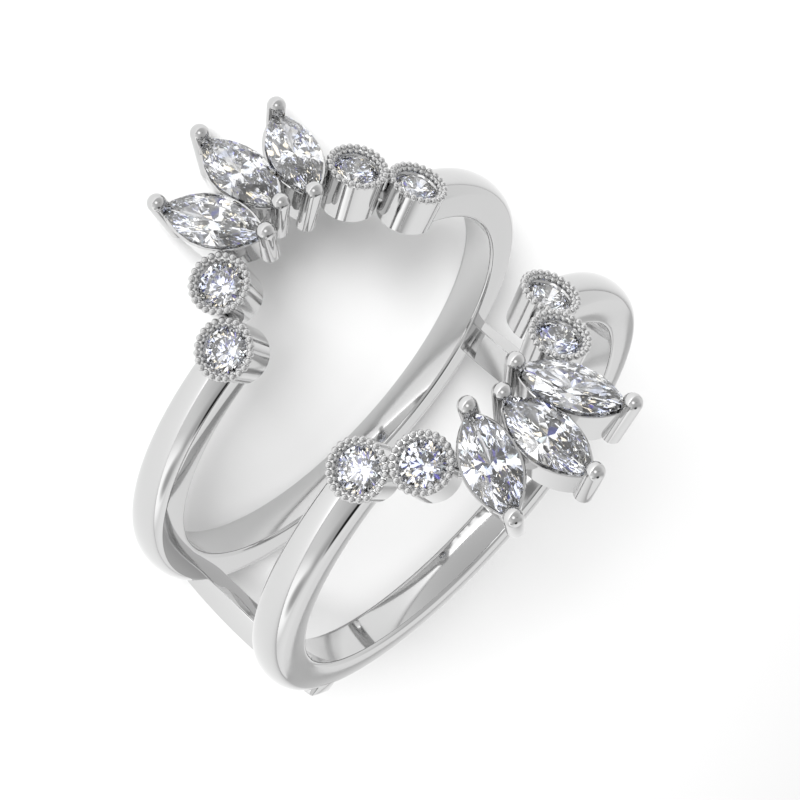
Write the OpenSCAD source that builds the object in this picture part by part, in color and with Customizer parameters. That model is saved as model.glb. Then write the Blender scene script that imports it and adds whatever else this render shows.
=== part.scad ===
// Ring guard enhancer: two parallel shanks joined by two bridge bars. At the crown each shank
// opens into a fan of three marquise stones in baskets, with two round stones in beaded cups
// at each end. The ring lies on its back side, as it rests by itself on a table.
//
// Worn frame, in which everything is built: +Z from the finger axis to the crown, +Y along the
// finger towards the front shank, +X across the hand. lie_down() turns it to the row frame.

/* [Preview] */
// Sub-part to draw

/* [Shanks] */
// Inside diameter of the finger hole
finger_d = 17.3; // [16.1:0.1:18.5]
// Distance between the middle planes of the two shanks
shank_pitch = 6.708; // [6.4:0.05:7.2]
// Width of a shank along the finger
shank_w = 1.62; // [1.45:0.01:1.75]
// Thickness of a shank, finger side to outer crest, halfway between crown and underside
shank_t = 1.635; // [1.5:0.005:1.75]
// How much thicker a shank is under the finger than at the crown
shank_taper = 0.21; // [0.1:0.01:0.3]
// Height of the dome of the outer crest above the flat sides
shank_dome = 0.46; // [0.4:0.01:0.6]
// Radius of the eased edges on the finger side
shank_inner_ease = 0.17; // [0.05:0.01:0.3]

/* [Bridge bars] */
// Angle of a bridge bar from the crown, about the finger axis
bridge_angle = 127.4; // [115:0.5:150]
// Distance from the finger surface to the inner face of a bar
bridge_lift = 1.14; // [0.9:0.01:1.3]
// Radial depth of a bar at its middle
bridge_h = 1.0; // [0.8:0.01:1.3]
// Width of a bar around the ring
bridge_w = 1.45; // [1.1:0.01:1.8]
// Radius of the bowed outer face
bridge_bow_r = 25; // [20:1:60]
// Width of the small bevels along the edges
bridge_bevel = 0.07; // [0.03:0.01:0.15]

/* [Round stones and cups] */
// Girdle diameter of a round stone
round_d = 1.75; // [1.6:0.01:1.8]
// Angle from the crown of the cup at the end of a shank
end_cup_angle = 28.7; // [28.7:0.1:30]
// Angle from the crown of the second cup
second_cup_angle = 19.45; // [19.4:0.05:19.5]
// Distance of the second cup from the plane between the shanks
second_cup_y = 5.05; // [5.04:0.01:5.06]
// Height of the end cup's rim above the finger surface
end_cup_h = 1.65; // [1.55:0.01:1.8]
// Height of the second cup's rim above the finger surface
second_cup_h = 1.84; // [1.7:0.01:1.95]
// Outside radius of a cup at its rim
cup_rim_r = 1.165; // [1.165:0.005:1.17]
// Outside radius of a cup at the finger side
cup_base_r = 1.08; // [1.04:0.01:1.09]
// Number of beads around a rim
bead_count = 24; // [16:1:24]
// Radius of a bead
bead_r = 0.115; // [0.1:0.005:0.115]
// Radius of the circle the beads sit on
bead_ring_r = 1.04; // [1.04:0.005:1.045]
// Depth of the girdle below the cup's rim
round_sink = 0.33; // [0.28:0.01:0.4]

/* [Marquise stones and baskets] */
// Length of a marquise stone
marquise_l = 4.0; // [3.9:0.01:4.05]
// Width of a marquise stone
marquise_w = 2.0; // [1.9:0.01:2.02]
// Distance of the middle marquise from the plane between the shanks
middle_marquise_y = 7.58; // [7.5:0.01:7.8]
// Angle from the crown of a side marquise
side_marquise_angle = 11.1; // [11:0.1:11.6]
// Distance of a side marquise from the plane between the shanks
side_marquise_y = 6.88; // [6.8:0.01:6.95]
// Turn of a side marquise in its own plane
side_marquise_turn = 25.5; // [24:0.5:27]
// Height of the girdles above the finger surface
marquise_girdle_h = 2.0; // [1.9:0.01:2.15]
// Height of a basket's rim above the finger surface
basket_h = 1.86; // [1.7:0.01:1.9]
// Overhang of the basket rim around the stone
basket_margin = 0.1; // [0.08:0.01:0.14]
// Taper of a basket's wall from rim to finger side
basket_taper = 0.25; // [0.15:0.01:0.3]

/* [Claws] */
// Diameter of a claw's wire
claw_d = 0.65; // [0.55:0.01:0.7]
// Distance of a claw from the middle of its stone
claw_reach = 2.13; // [2.1:0.01:2.2]
// Height of the middle of a claw's ball end above the finger surface
claw_ball_h = 2.23; // [2.15:0.01:2.4]
// Lean of a claw towards its stone at the finger side
claw_lean = 0.27; // [0.15:0.01:0.35]
// Height of a claw's foot above the finger surface
claw_foot_h = 0.02; // [0.0:0.01:0.06]
// Bevel around the foot of a claw
claw_foot_bevel = 0.05; // [0.03:0.01:0.12]

/* [Cut of the stones] */
// Table width as a share of the stone's width
table_share = 0.56; // [0.5:0.01:0.62]
// Crown height as a share of the width
crown_share = 0.15; // [0.12:0.01:0.17]
// Pavilion depth as a share of the width
pavilion_share = 0.43; // [0.4:0.01:0.45]
// Girdle thickness as a share of the width
girdle_share = 0.02; // [0.01:0.005:0.03]

/* [Clearances] */
// Gap between a stone and its metal
seat_gap = 0.04; // [0.03:0.005:0.05]
// Gap between a cup's foot and the finger surface of the shanks
foot_gap = 0.02; // [0.01:0.01:0.05]
// Radius of the hidden solder joints between cups and baskets
joint_r = 0.32; // [0.25:0.01:0.4]

/* [Hidden] */
metal_color = [0.88, 0.88, 0.87];
stone_color = [0.95, 0.97, 1.0, 0.6];
round_fn = 96;
slop = 0.01;

finger_r = finger_d / 2;
shank_y = shank_pitch / 2;
shoulder_r = finger_r + shank_t - shank_dome;
shank_shift = shank_taper / 2;
claw_r = claw_d / 2;
girdle_r = finger_r + marquise_girdle_h;
basket_rim_r = finger_r + basket_h;
claw_ball_r = finger_r + claw_ball_h;
girdle_half = girdle_share / 2;

// Columns of the two seat tables
ANGLE = 0;
AXIAL = 1;
TURN = 2;
RIM = 2;

// Marquise seats, left to right: angle from the crown, distance along the finger, turn
MARQUISE_SEATS = [
    [-side_marquise_angle, side_marquise_y, -side_marquise_turn],
    [0, middle_marquise_y, 0],
    [side_marquise_angle, side_marquise_y, side_marquise_turn]
];

// Round seats, left to right: angle from the crown, distance along the finger, rim radius
ROUND_SEATS = [
    [-end_cup_angle, shank_y, finger_r + end_cup_h],
    [-second_cup_angle, second_cup_y, finger_r + second_cup_h],
    [second_cup_angle, second_cup_y, finger_r + second_cup_h],
    [end_cup_angle, shank_y, finger_r + end_cup_h]
];

FRONT = 1;
BACK = -1;

// Resting pose. The back side lies on the table: it touches with the foot of the outer claw of
// the middle marquise and with the shoulder of the back shank under the finger.
lean = atan(claw_lean / (claw_ball_h - claw_foot_h));
wire_l = (claw_ball_h - claw_foot_h) / cos(lean);
claw_out = middle_marquise_y + claw_reach;
foot_out = claw_out - (wire_l - claw_foot_bevel) * sin(lean) + claw_r * cos(lean);
foot_r = claw_ball_r - (wire_l - claw_foot_bevel) * cos(lean) - claw_r * sin(lean);
function dome_support(c, s) = sqrt(pow(shank_w / 2 * c, 2) + pow(shank_dome * s, 2));
function rest_tilt(t, n) = n == 0 ? t
    : rest_tilt(atan((foot_out - shank_y - dome_support(cos(t), sin(t)) / cos(t))
                     / (foot_r + shoulder_r + shank_shift)), n - 1);
tilt = rest_tilt(15, 12);
rest_drop = foot_out * cos(tilt) - foot_r * sin(tilt);
crown_end = claw_out * sin(tilt) + claw_ball_r * cos(tilt) + claw_r;
under_end = shank_y * sin(tilt) + (shoulder_r + shank_shift) * cos(tilt)
    + dome_support(sin(tilt), cos(tilt));

// Turns the worn frame to the row frame: middle of the footprint at the origin, base at z = 0
module lie_down() {
    translate([0, (crown_end - under_end) / 2, rest_drop])
        rotate([90 - tilt, 0, 0])
            children();
}

// Places children on the ring: their own origin on the finger axis, +Z outwards
module on_ring(seat, side) {
    translate([0, side * seat[AXIAL], 0])
        rotate([0, seat[ANGLE], 0])
            children();
}

// A marquise seat also turns its children in their own plane
module on_marquise(seat, side) {
    on_ring(seat, side)
        rotate([0, 0, -side * seat[TURN]])
            children();
}

// Outside of a shank's section: x is the distance from the outside's own axis, y the width
module shank_outside() {
    deep = finger_r - 1;
    translate([deep, -shank_w / 2])
        square([shoulder_r - deep, shank_w]);
    intersection() {
        translate([shoulder_r, 0])
            scale([shank_dome, shank_w / 2])
                circle(r = 1, $fn = round_fn);
        translate([shoulder_r - slop, -shank_w])
            square([shank_t, 2 * shank_w]);
    }
}

// Space inside a shank: the finger hole with eased edges
module shank_inside() {
    e = shank_inner_ease;
    w = shank_w / 2;
    difference() {
        translate([0, -w - 1])
            square([finger_r + e, 2 * w + 2]);
        for (s = [-1, 1])
            translate([finger_r + e, s * (w - e)])
                circle(r = e, $fn = round_fn);
        translate([finger_r, -w + e])
            square([2 * e, 2 * (w - e)]);
    }
}

// One shank from its end under one cup, around below the finger, to its other end. Its outside
// turns about an axis set below the finger's, so that it is thicker under the finger.
module shank(side) {
    gap = 2 * end_cup_angle;
    translate([0, side * shank_y, 0])
        rotate([90, 0, 0])
            difference() {
                translate([0, -shank_shift, 0])
                    rotate([0, 0, 90 + gap / 2])
                        rotate_extrude(angle = 360 - gap, $fn = 4 * round_fn)
                            shank_outside();
                rotate_extrude($fn = 4 * round_fn)
                    shank_inside();
            }
}

// One bridge bar, bowed outside and flat inside, with bevelled edges
module bridge(side) {
    inner = finger_r + bridge_lift;
    outer = inner + bridge_h;
    w = bridge_w / 2;
    b = bridge_bevel;
    half = shank_y + shank_w / 2;
    big = bridge_bow_r;
    rotate([0, side * bridge_angle, 0])
        intersection() {
            translate([0, 0, outer - big])
                rotate([0, 90, 0])
                    rotate_extrude($fn = 4 * round_fn)
                        polygon([[0, -w], [big - b, -w], [big, -w + b],
                                 [big, w - b], [big - b, w], [0, w]]);
            translate([0, half, 0])
                rotate([90, 0, 0])
                    linear_extrude(height = 2 * half)
                        polygon([[-w, inner + b], [-w + b, inner], [w - b, inner],
                                 [w, inner + b], [w, outer + 1], [-w, outer + 1]]);
        }
}

// Solid body of a cup, before its seat is cut. Its foot follows the finger hole.
module cup_body(rim) {
    foot_r = finger_r + foot_gap;
    low = sqrt(foot_r * foot_r - cup_base_r * cup_base_r) - slop;
    difference() {
        translate([0, 0, low])
            cylinder(h = rim - low, r1 = cup_base_r, r2 = cup_rim_r, $fn = round_fn);
        rotate([90, 0, 0])
            cylinder(h = 4 * cup_rim_r, r = foot_r, center = true, $fn = 4 * round_fn);
    }
    for (i = [0:bead_count - 1])
        rotate([0, 0, i * 360 / bead_count])
            translate([bead_ring_r, 0, rim])
                sphere(r = bead_r, $fn = 24);
}

// Space cut from a cup: a straight wall above the girdle, a cone under it, a hole below
module cup_seat(rim) {
    r = round_d / 2 + seat_gap;
    g = rim - round_sink - round_d * girdle_half;
    deep = 0.3;
    hole_r = r - deep / (2 * pavilion_share);
    translate([0, 0, g - seat_gap / 2])
        cylinder(h = rim + 1 - g, r = r, $fn = round_fn);
    translate([0, 0, g - seat_gap / 2 - deep])
        cylinder(h = deep, r1 = hole_r, r2 = r, $fn = round_fn);
    translate([0, 0, finger_r - 1])
        cylinder(h = g - finger_r + 1 - deep / 2, r = hole_r, $fn = round_fn);
}

// Marquise prism: the part two equal round bars or cones share. Half widths at both ends
module boat(h, half_w_low, half_w_high) {
    l = marquise_l / 2;
    w = marquise_w / 2;
    e = (l * l - w * w) / (2 * w);
    intersection() {
        translate([e, 0, 0])
            cylinder(h = h, r1 = half_w_low + e, r2 = half_w_high + e, $fn = round_fn);
        translate([-e, 0, 0])
            cylinder(h = h, r1 = half_w_low + e, r2 = half_w_high + e, $fn = round_fn);
    }
}

module basket_body() {
    w = marquise_w / 2 + basket_margin;
    translate([0, 0, finger_r])
        boat(basket_h, w - basket_taper, w);
}

// Space cut from a basket and its claws: around the girdle, under it, and the hole below
module basket_seat() {
    w = marquise_w / 2 + seat_gap;
    deep = 0.3;
    floor_w = w - deep / (2 * pavilion_share);
    low = girdle_r - marquise_w * girdle_half - seat_gap / 2;
    translate([0, 0, low])
        boat(0.14, w, w);
    translate([0, 0, low - deep])
        boat(deep, floor_w, w);
    translate([0, 0, finger_r - 0.2])
        boat(low - finger_r + 0.2 - deep / 2, floor_w - 0.1, floor_w);
}

// One claw: leaning round wire with a ball end, bevelled at the finger side
module claw(end) {
    straight = wire_l - claw_foot_bevel;
    translate([0, end * claw_reach, claw_ball_r])
        rotate([-end * lean, 0, 0]) {
            sphere(r = claw_r, $fn = round_fn);
            translate([0, 0, -straight])
                cylinder(h = straight, r = claw_r, $fn = round_fn);
            translate([0, 0, -wire_l])
                cylinder(h = claw_foot_bevel, r1 = claw_r - claw_foot_bevel, r2 = claw_r, $fn = round_fn);
        }
}

// Point on a seat's axis, in the worn frame
function seat_point(seat, side, r) =
    [r * sin(seat[ANGLE]), side * seat[AXIAL], r * cos(seat[ANGLE])];

// Short round joint from one point to another
module joint(a, b) {
    d = b - a;
    run = norm([d[0], d[1]]);
    translate(a)
        rotate([0, atan2(run, d[2]), atan2(d[1], d[0])])
            cylinder(h = norm(d), r = joint_r, $fn = round_fn);
}

// Joints between neighbours of one cluster
module cluster_joints(side) {
    r = finger_r + 0.75;
    m = MARQUISE_SEATS;
    c = ROUND_SEATS;
    joint(seat_point(c[0], side, r), seat_point(c[1], side, r));
    joint(seat_point(c[1], side, r), seat_point(m[0], side, r));
    joint(seat_point(m[0], side, r), seat_point(m[1], side, r));
    joint(seat_point(m[1], side, r), seat_point(m[2], side, r));
    joint(seat_point(m[2], side, r), seat_point(c[2], side, r));
    joint(seat_point(c[2], side, r), seat_point(c[3], side, r));
}

// All the metal, soldered into one piece
module ring_frame() {
    color(metal_color)
        lie_down()
            difference() {
                union() {
                    for (side = [FRONT, BACK]) {
                        shank(side);
                        bridge(side);
                        cluster_joints(side);
                        for (seat = ROUND_SEATS)
                            on_ring(seat, side)
                                cup_body(seat[RIM]);
                        for (seat = MARQUISE_SEATS)
                            on_marquise(seat, side) {
                                basket_body();
                                claw(1);
                                claw(-1);
                            }
                    }
                }
                for (side = [FRONT, BACK]) {
                    for (seat = ROUND_SEATS)
                        on_ring(seat, side)
                            cup_seat(seat[RIM]);
                    for (seat = MARQUISE_SEATS)
                        on_marquise(seat, side)
                            basket_seat();
                }
            }
}

// Outline of a stone at step k of 16, for a width of 2: k = 0 and 8 on x, 4 and 12 on y
function round_outline(k) = [cos(k * 22.5), sin(k * 22.5)];

// A marquise outline runs evenly along its two arcs
function along(b) = 0.5 * sin(b) + 0.5 * b / 90;
function marquise_quarter(b) =
    let (l = marquise_l / marquise_w, e = (l * l - 1) / 2, y = l * along(b))
    [sqrt(pow(1 + e, 2) - y * y) - e, y];
function marquise_outline(k) =
    let (q = floor(k / 4), m = k - 4 * q, b = (q % 2 == 0 ? m : 4 - m) * 22.5,
         p = marquise_quarter(b))
    [(q == 1 || q == 2 ? -1 : 1) * p[0], (q >= 2 ? -1 : 1) * p[1]];

// One ring of points: outline scaled by share at height z, from step first, every step-th
function stone_ring(outline, share, z, first, step) =
    [for (k = [first:step:first + 15]) concat(share * outline[k % 16], z)];

// Brilliant cut: table, 8 star, 8 kite and 16 upper facets, girdle, 16 lower and 8 main facets.
// The girdle's middle is at z = 0. Shares of the half width fix where the facets meet. A kite
// is two triangles, split so that the stone stays convex on a marquise outline too.
module brilliant(outline, width) {
    h = width / 2;
    star = 0.76;
    low = 0.24;
    crown = 2 * crown_share * h;
    pav = 2 * pavilion_share * h;
    half = 2 * girdle_half * h;
    rise = (1 - star * cos(22.5)) / (1 - table_share);
    fall = 1 - low * cos(22.5);
    points = concat(
        stone_ring(outline, table_share * h, half + crown, 0, 2),
        stone_ring(outline, star * h, half + crown * rise, 1, 2),
        stone_ring(outline, h, half, 0, 1),
        stone_ring(outline, h, -half, 0, 1),
        stone_ring(outline, low * h, -half - pav * fall, 1, 2),
        [[0, 0, -half - pav]]);
    T = 0;
    S = 8;
    U = 16;
    L = 32;
    P = 48;
    C = 56;
    faces = concat(
        [[for (i = [7:-1:0]) T + i]],
        [for (i = [0:7]) [T + i, T + (i + 1) % 8, S + i]],
        [for (i = [0:7]) i % 2 == 0 ? [T + i, S + i, U + 2 * i] : [T + i, S + i, S + i - 1]],
        [for (i = [0:7]) i % 2 == 0 ? [T + i, U + 2 * i, S + (i + 7) % 8] : [S + i, U + 2 * i, S + i - 1]],
        [for (i = [0:7]) [S + i, U + 2 * i + 1, U + 2 * i]],
        [for (i = [0:7]) [S + i, U + (2 * i + 2) % 16, U + 2 * i + 1]],
        [for (i = [0:15]) [U + i, U + (i + 1) % 16, L + (i + 1) % 16]],
        [for (i = [0:15]) [U + i, L + (i + 1) % 16, L + i]],
        [for (i = [0:7]) [P + i, L + 2 * i, L + 2 * i + 1]],
        [for (i = [0:7]) [P + i, L + 2 * i + 1, L + (2 * i + 2) % 16]],
        [for (i = [0:7]) i % 2 == 0 ? [C, L + 2 * i, P + i] : [C, P + i - 1, P + i]],
        [for (i = [0:7]) i % 2 == 0 ? [C, P + (i + 7) % 8, L + 2 * i] : [P + i - 1, L + 2 * i, P + i]]);
    polyhedron(points = points, faces = faces, convexity = 4);
}

module round_stone(side, i) {
    seat = ROUND_SEATS[i];
    color(stone_color)
        lie_down()
            on_ring(seat, side)
                translate([0, 0, seat[RIM] - round_sink])
                    brilliant([for (k = [0:15]) round_outline(k)], round_d);
}

module marquise_stone(side, i) {
    color(stone_color)
        lie_down()
            on_marquise(MARQUISE_SEATS[i], side)
                translate([0, 0, girdle_r])
                    brilliant([for (k = [0:15]) marquise_outline(k)], marquise_w);
}

module marquise_front_1() { marquise_stone(FRONT, 0); }
module marquise_front_2() { marquise_stone(FRONT, 1); }
module marquise_front_3() { marquise_stone(FRONT, 2); }
module marquise_back_1() { marquise_stone(BACK, 0); }
module marquise_back_2() { marquise_stone(BACK, 1); }
module marquise_back_3() { marquise_stone(BACK, 2); }
module round_front_1() { round_stone(FRONT, 0); }
module round_front_2() { round_stone(FRONT, 1); }
module round_front_3() { round_stone(FRONT, 2); }
module round_front_4() { round_stone(FRONT, 3); }
module round_back_1() { round_stone(BACK, 0); }
module round_back_2() { round_stone(BACK, 1); }
module round_back_3() { round_stone(BACK, 2); }
module round_back_4() { round_stone(BACK, 3); }

ring_frame();
marquise_front_1();
marquise_front_2();
marquise_front_3();
marquise_back_1();
marquise_back_2();
marquise_back_3();
round_front_1();
round_front_2();
round_front_3();
round_front_4();
round_back_1();
round_back_2();
round_back_3();
round_back_4();
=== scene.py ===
"""The polished look of the ring guard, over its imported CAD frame.

The CAD metal is one soldered solid with coarse facets, so smooth pieces of the same sizes stand
for it here. Where the photograph shows more than the CAD has, the class says so. The cut stones
stay CAD nodes and get their diamond material. Pieces are modelled in millimetres in the worn
frame (+Z from the finger axis to the crown, +Y along the finger to the front shank, +X across
the hand), then laid down and scaled to metres as the CAD part is.
"""

import logging
import math
from dataclasses import dataclass, field
from enum import Enum
from typing import Callable, Iterable, Sequence

import bmesh
import bpy
from mathutils import Matrix, Vector

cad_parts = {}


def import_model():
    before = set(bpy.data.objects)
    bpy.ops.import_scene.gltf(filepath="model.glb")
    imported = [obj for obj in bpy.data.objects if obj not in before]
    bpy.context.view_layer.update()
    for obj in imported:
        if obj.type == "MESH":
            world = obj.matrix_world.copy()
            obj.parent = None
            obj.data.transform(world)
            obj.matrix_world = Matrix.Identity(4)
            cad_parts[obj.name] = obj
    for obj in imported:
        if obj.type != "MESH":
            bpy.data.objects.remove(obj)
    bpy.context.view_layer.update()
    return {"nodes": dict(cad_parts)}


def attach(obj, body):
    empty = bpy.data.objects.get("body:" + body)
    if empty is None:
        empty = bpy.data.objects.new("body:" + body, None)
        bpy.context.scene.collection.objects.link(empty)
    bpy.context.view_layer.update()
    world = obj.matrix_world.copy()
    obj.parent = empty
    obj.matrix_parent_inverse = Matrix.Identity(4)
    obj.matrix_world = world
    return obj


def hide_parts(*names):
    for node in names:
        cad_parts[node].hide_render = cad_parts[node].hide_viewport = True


LOG = logging.getLogger("ring_guard")
MM = 0.001
# Places nearer than this, in millimetres or radians, count as one.
NEAR = 1e-4
# A first step for extruded points, before they are laid in their own places.
NUDGE = 0.001
Point = tuple[float, float, float]


class Side(Enum):
    """The two halves of the guard, by the sign of their place along the finger."""

    FRONT = 1
    BACK = -1


class Slot(Enum):
    """Material slots of the record that the pieces made here stand in."""

    METAL = "polished_white_gold"


# Sizes and places


@dataclass(frozen=True)
class RingSizes:
    """Driving sizes of the ring in millimetres, the same as the CAD part's.

    Attributes:
        finger_r: Radius of the finger hole.
        shank_y: Place of a shank's middle along the finger.
        shank_w, shank_t: A shank's width, and its thickness at the finger's sides.
        shank_taper: How much thicker a shank is under the finger than at the crown.
        shank_dome: Height of its round top.
        shank_inner_ease: Radius of its inner edges.
        end_cup_angle: Angle in degrees from the crown to an end cup, where the shank stops.
        end_cup_h: Height of an end cup's rim above the finger's surface.
        claw_d: Wire of the CAD's claws, on which the ring rests.
        claw_reach: Distance from a stone's middle to the ball of its claw.
        claw_ball_h, claw_foot_h: Heights of a claw's ball and foot above the finger's surface.
        claw_foot_bevel: Bevel round a claw's foot.
        claw_lean: How much nearer to the stone's middle the foot is than the ball.
        middle_marquise_y: Place of a middle marquise along the finger.
        seat_gap: Room between a stone and its seat.
        seat_depth: Depth of a seat.
        pavilion_share: Depth of a stone's pavilion as a share of its width.
        edge: Bevel of the settings' edges.
    """

    finger_r: float = 8.65
    shank_y: float = 3.354
    shank_w: float = 1.62
    shank_t: float = 1.635
    shank_taper: float = 0.21
    shank_dome: float = 0.46
    shank_inner_ease: float = 0.17
    end_cup_angle: float = 28.7
    end_cup_h: float = 1.65
    claw_d: float = 0.65
    claw_reach: float = 2.13
    claw_ball_h: float = 2.23
    claw_foot_h: float = 0.02
    claw_foot_bevel: float = 0.05
    claw_lean: float = 0.27
    middle_marquise_y: float = 7.58
    seat_gap: float = 0.04
    seat_depth: float = 0.3
    pavilion_share: float = 0.43
    edge: float = 0.03

    @property
    def shoulder_r(self) -> float:
        """Distance of a shank's shoulder from the axis its outside turns about."""
        return self.finger_r + self.shank_t - self.shank_dome

    @property
    def shank_shift(self) -> float:
        """How far that axis lies below the finger's."""
        return self.shank_taper / 2

    @property
    def seat_slope(self) -> float:
        """How far a stone's seat draws in for each millimetre down, as its pavilion does."""
        return 1 / (2 * self.pavilion_share)


@dataclass(frozen=True)
class RestPose:
    """How the ring lies: on a claw's foot and on the back shank's shoulder.

    The tilt is found by trying again from the last one, which settles in a few tries.

    Attributes:
        sizes: Sizes of the ring.
        first_tilt: Tilt in degrees to try first.
        tries: Number of tries.
    """

    sizes: RingSizes
    first_tilt: float = 15
    tries: int = 12

    def _dome(self, c: float, s: float) -> float:
        """Reach of the dome's ellipse in a direction given by its cosine and sine."""
        return math.hypot(self.sizes.shank_w / 2 * c, self.sizes.shank_dome * s)

    def matrix(self) -> Matrix:
        """Matrix from the worn frame in millimetres to the row frame in metres.

        Returns:
            The matrix, which puts the ring's lowest points at height 0.
        """
        z = self.sizes
        lean = math.atan(z.claw_lean / (z.claw_ball_h - z.claw_foot_h))
        straight = (z.claw_ball_h - z.claw_foot_h) / math.cos(lean) - z.claw_foot_bevel
        r = z.claw_d / 2
        out, ball = z.middle_marquise_y + z.claw_reach, z.finger_r + z.claw_ball_h
        foot_y = out - straight * math.sin(lean) + r * math.cos(lean)
        foot_z = ball - straight * math.cos(lean) - r * math.sin(lean)
        tilt = math.radians(self.first_tilt)
        under = z.shoulder_r + z.shank_shift
        for _ in range(self.tries):
            c, s = math.cos(tilt), math.sin(tilt)
            tilt = math.atan((foot_y - z.shank_y - self._dome(c, s) / c) / (foot_z + under))
        c, s = math.cos(tilt), math.sin(tilt)
        drop = foot_y * c - foot_z * s
        crown_end = out * s + ball * c + r
        under_end = z.shank_y * s + under * c + self._dome(s, c)
        turn = Matrix.Rotation(math.radians(90) - tilt, 4, "X")
        move = Matrix.Translation((0, (crown_end - under_end) / 2, drop))
        return Matrix.Scale(MM, 4) @ move @ turn


@dataclass(frozen=True)
class Seat:
    """A stone's seat on the ring: angle from the crown, place along the finger, turn, rim.

    Attributes:
        angle: Angle in degrees from the crown, to +X.
        axial: Place along the finger, away from the ring's middle.
        turn: Turn in degrees about its own axis.
        rim: Distance of a cup's rim from the finger axis, 0 for a basket.
    """

    angle: float
    axial: float
    turn: float = 0.0
    rim: float = 0.0

    def matrix(self, side: Side) -> Matrix:
        """Matrix from the seat's own frame, with +Z outwards from the finger axis.

        Args:
            side: The side of the ring that the seat is on.

        Returns:
            The matrix to the worn frame.
        """
        return (
            Matrix.Translation((0, side.value * self.axial, 0))
            @ Matrix.Rotation(math.radians(self.angle), 4, "Y")
            @ Matrix.Rotation(math.radians(-side.value * self.turn), 4, "Z")
        )

    def point(self, side: Side, r: float) -> Vector:
        """Point on the seat's axis at distance r from the finger axis, worn frame."""
        return self.matrix(side) @ Vector((0, 0, r))


# Modelling helpers


def deselect_all() -> None:
    """Leaves object mode with nothing selected."""
    if bpy.context.object and bpy.context.object.mode != "OBJECT":
        bpy.ops.object.mode_set(mode="OBJECT")
    bpy.ops.object.select_all(action="DESELECT")


def activate(obj: bpy.types.Object) -> bpy.types.Object:
    """Makes obj the only selected and the active object.

    Args:
        obj: The object.

    Returns:
        The same object.
    """
    deselect_all()
    obj.select_set(True)
    bpy.context.view_layer.objects.active = obj
    return obj


def edit(obj: bpy.types.Object, mode: str = "VERT") -> None:
    """Enters edit mode on obj with nothing selected.

    Args:
        obj: The object.
        mode: What is selected there: VERT, EDGE or FACE.
    """
    activate(obj)
    bpy.ops.object.mode_set(mode="EDIT")
    bpy.ops.mesh.select_mode(type=mode)
    bpy.ops.mesh.select_all(action="DESELECT")


def done() -> None:
    """Returns to object mode."""
    bpy.ops.object.mode_set(mode="OBJECT")


def pick(obj: bpy.types.Object, test: Callable[[Vector], bool]) -> None:
    """Selects, in vertex edit mode, the vertices whose place passes test.

    Args:
        obj: The object in edit mode.
        test: Says of a place whether it counts.
    """
    mesh = bmesh.from_edit_mesh(obj.data)
    for v in mesh.verts:
        v.select_set(test(v.co))
    mesh.select_flush(True)
    bmesh.update_edit_mesh(obj.data)


def reshape(obj: bpy.types.Object, rule: Callable[[Vector], Vector]) -> None:
    """Moves every vertex of obj by a rule of its place, in object mode.

    Args:
        obj: The object.
        rule: Gives the new place for an old one.
    """
    for v in obj.data.vertices:
        v.co = rule(v.co)
    obj.data.update()


def first_loop(name: str, points: Sequence[Point]) -> bpy.types.Object:
    """Adds a circle and lays its vertices on an outline.

    Args:
        name: Name of the new object.
        points: The outline's points, in order.

    Returns:
        The object, an open loop of edges.
    """
    deselect_all()
    bpy.ops.mesh.primitive_circle_add(vertices=len(points), radius=1, fill_type="NOTHING")
    obj = bpy.context.object
    obj.name = name
    for v, p in zip(obj.data.vertices, points):
        v.co = p
    return obj


def extrude_loop(obj: bpy.types.Object, points: Sequence[Point]) -> None:
    """Extrudes the selected loop of edges once and lays the new loop on an outline.

    Args:
        obj: The object in edit mode.
        points: The new loop's points, in the first loop's order.
    """
    bpy.ops.mesh.extrude_region_move(TRANSFORM_OT_translate={"value": (0, 0, NUDGE)})
    mesh = bmesh.from_edit_mesh(obj.data)
    mesh.verts.ensure_lookup_table()
    fresh = mesh.verts[-len(points):]
    for v, p in zip(fresh, points):
        v.co = p
    bmesh.update_edit_mesh(obj.data)


def loft(name: str, loops: Sequence[Sequence[Point]]) -> bpy.types.Object:
    """Extrudes a closed ring of wall through loops and back to the first.

    Args:
        name: Name of the new object.
        loops: Outlines with equal numbers of points.

    Returns:
        A closed shell with its faces turned outwards.
    """
    obj = first_loop(name, loops[0])
    edit(obj)
    bpy.ops.mesh.select_all(action="SELECT")
    for points in loops[1:]:
        extrude_loop(obj, points)
    bpy.ops.mesh.select_non_manifold(extend=False)
    bpy.ops.mesh.bridge_edge_loops()
    bpy.ops.mesh.select_all(action="SELECT")
    bpy.ops.mesh.normals_make_consistent(inside=False)
    done()
    return obj


def capped(name: str, loops: Sequence[Sequence[Point]]) -> bpy.types.Object:
    """Extrudes an outline through loops and closes both ends.

    Args:
        name: Name of the new object.
        loops: Outlines with equal numbers of points.

    Returns:
        A closed solid with its faces turned outwards.
    """
    obj = first_loop(name, loops[0])
    edit(obj)
    bpy.ops.mesh.select_all(action="SELECT")
    bpy.ops.mesh.edge_face_add()
    for points in loops[1:]:
        extrude_loop(obj, points)
    bpy.ops.mesh.select_all(action="SELECT")
    bpy.ops.mesh.normals_make_consistent(inside=False)
    done()
    return obj


def cut(obj: bpy.types.Object, tool: bpy.types.Object) -> None:
    """Cuts one closed solid out of another and deletes it.

    Args:
        obj: The solid that stays.
        tool: The solid that is cut out and deleted.
    """
    add_modifier(obj, "BOOLEAN", operation="DIFFERENCE", object=tool, solver="EXACT")
    bpy.data.objects.remove(tool)


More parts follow.
